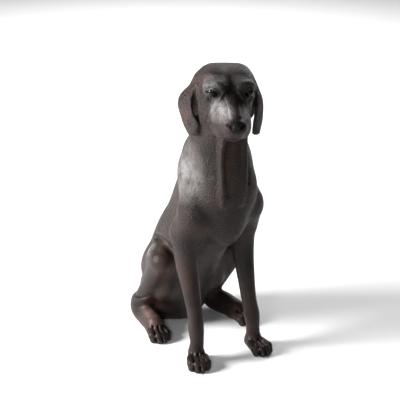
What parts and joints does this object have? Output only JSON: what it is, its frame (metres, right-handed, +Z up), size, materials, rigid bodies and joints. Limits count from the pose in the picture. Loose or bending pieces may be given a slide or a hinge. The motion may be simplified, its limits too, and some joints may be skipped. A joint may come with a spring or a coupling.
{
  "type": "seated hound statue",
  "caption": "Hollow resin casting of a seated hound with hanging ears, its head turned to its right, standing on its paws, haunches and tail.",
  "frame": {"origin": "middle of the bounding box on the ground plane", "axes": "+Z up, -Y the way the hound's chest faces, +X to the hound's own left"},
  "size_m": [0.33, 0.6608, 0.8017],
  "materials": {
    "resin": "satin bronze-brown cast resin, stippled as short hair, rubbed silver-grey on its high places"
  },
  "bodies": {
    "root": {"dog": "resin"}
  },
  "joints": []
}
